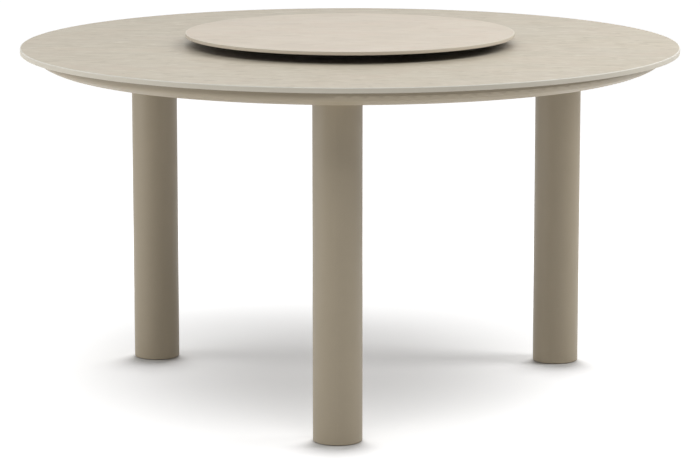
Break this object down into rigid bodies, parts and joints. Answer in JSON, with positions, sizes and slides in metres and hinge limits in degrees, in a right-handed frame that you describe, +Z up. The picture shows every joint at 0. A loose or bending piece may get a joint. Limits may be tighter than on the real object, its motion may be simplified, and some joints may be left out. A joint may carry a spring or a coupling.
{
  "type": "dining table with lazy susan",
  "caption": "Round dining table with a thin stone-look top on a set-back frame ring, tubular legs with levelling feet, and a lazy susan that turns on a ball bearing.",
  "frame": {"origin": "on the floor, under the centre of the round top", "axes": "+Z up, with the front leg towards -Y and the other legs a third of a turn away on each side"},
  "size_m": [1.3998, 1.4, 0.7665],
  "materials": {
    "stone_top": "matte",
    "stone_susan": "matte",
    "silicone": "matte",
    "frame_coat": "matte",
    "bare_alloy": "satin",
    "bearing_alloy": "satin",
    "black_coat": "matte",
    "steel": "satin",
    "ball_steel": "polished",
    "nylon": "matte",
    "pad_nylon": "matte",
    "rubber": "matte"
  },
  "bodies": {
    "table": {"table_top": "stone_top", "bond_pads": "silicone", "frame_ring": "frame_coat", "frame_flange": "frame_coat", "hub_upper_plate": "frame_coat", "hub_lower_plate": "frame_coat", "susan_base_ring": "bearing_alloy", "susan_feet": "rubber", "frame_arm_front": "frame_coat", "leg_mount_front": "frame_coat", "leg_tube_front": "frame_coat", "leg_head_front": "bare_alloy", "leg_bolts_front": "steel", "leg_washers_front": "steel", "leg_plug_front": "nylon", "foot_nut_front": "steel", "frame_arm_right": "frame_coat", "leg_mount_right": "frame_coat", "leg_tube_right": "frame_coat", "leg_head_right": "bare_alloy", "leg_bolts_right": "steel", "leg_washers_right": "steel", "leg_plug_right": "nylon", "foot_nut_right": "steel", "frame_arm_left": "frame_coat", "leg_mount_left": "frame_coat", "leg_tube_left": "frame_coat", "leg_head_left": "bare_alloy", "leg_bolts_left": "steel", "leg_washers_left": "steel", "leg_plug_left": "nylon", "foot_nut_left": "steel"},
    "turntable": {"susan_disc": "stone_susan", "susan_backing": "black_coat", "susan_turn_ring": "bearing_alloy", "susan_screws": "steel"},
    "ball_train": {"susan_cage": "nylon", "susan_balls": "ball_steel"},
    "pad_front": {"foot_pad_front": "pad_nylon"},
    "stud_front": {"foot_stud_front": "steel"},
    "pad_right": {"foot_pad_right": "pad_nylon"},
    "stud_right": {"foot_stud_right": "steel"},
    "pad_left": {"foot_pad_left": "pad_nylon"},
    "stud_left": {"foot_stud_left": "steel"}
  },
  "joints": [
    {"name": "susan_spin", "type": "hinge", "parent": "table", "child": "turntable", "pos_m": [0, 0, 0.748], "axis": [0, 0, 1], "continuous": true},
    {"name": "ball_train_roll", "type": "hinge", "parent": "table", "child": "ball_train", "pos_m": [0, 0, 0.748], "axis": [0, 0, 1], "continuous": true},
    {"name": "foot_front_lift", "type": "slide", "parent": "table", "child": "pad_front", "axis": [0, 0, -1], "range_m": [0, 0.012]},
    {"name": "foot_front_turn", "type": "hinge", "parent": "pad_front", "child": "stud_front", "pos_m": [0, -0.517, 0], "axis": [0, 0, -1], "range_deg": [0, 2880]},
    {"name": "foot_right_lift", "type": "slide", "parent": "table", "child": "pad_right", "axis": [0, 0, -1], "range_m": [0, 0.012]},
    {"name": "foot_right_turn", "type": "hinge", "parent": "pad_right", "child": "stud_right", "pos_m": [0.44773, 0.2585, 0], "axis": [0, 0, -1], "range_deg": [0, 2880]},
    {"name": "foot_left_lift", "type": "slide", "parent": "table", "child": "pad_left", "axis": [0, 0, -1], "range_m": [0, 0.012]},
    {"name": "foot_left_turn", "type": "hinge", "parent": "pad_left", "child": "stud_left", "pos_m": [-0.44773, 0.2585, 0], "axis": [0, 0, -1], "range_deg": [0, 2880]}
  ],
  "couplings": [
    {"joint": "ball_train_roll", "follows": "susan_spin", "ratio": 0.5},
    {"joint": "foot_front_turn", "follows": "foot_front_lift", "rad_per_m": 4188.8},
    {"joint": "foot_right_turn", "follows": "foot_right_lift", "rad_per_m": 4188.8},
    {"joint": "foot_left_turn", "follows": "foot_left_lift", "rad_per_m": 4188.8}
  ]
}
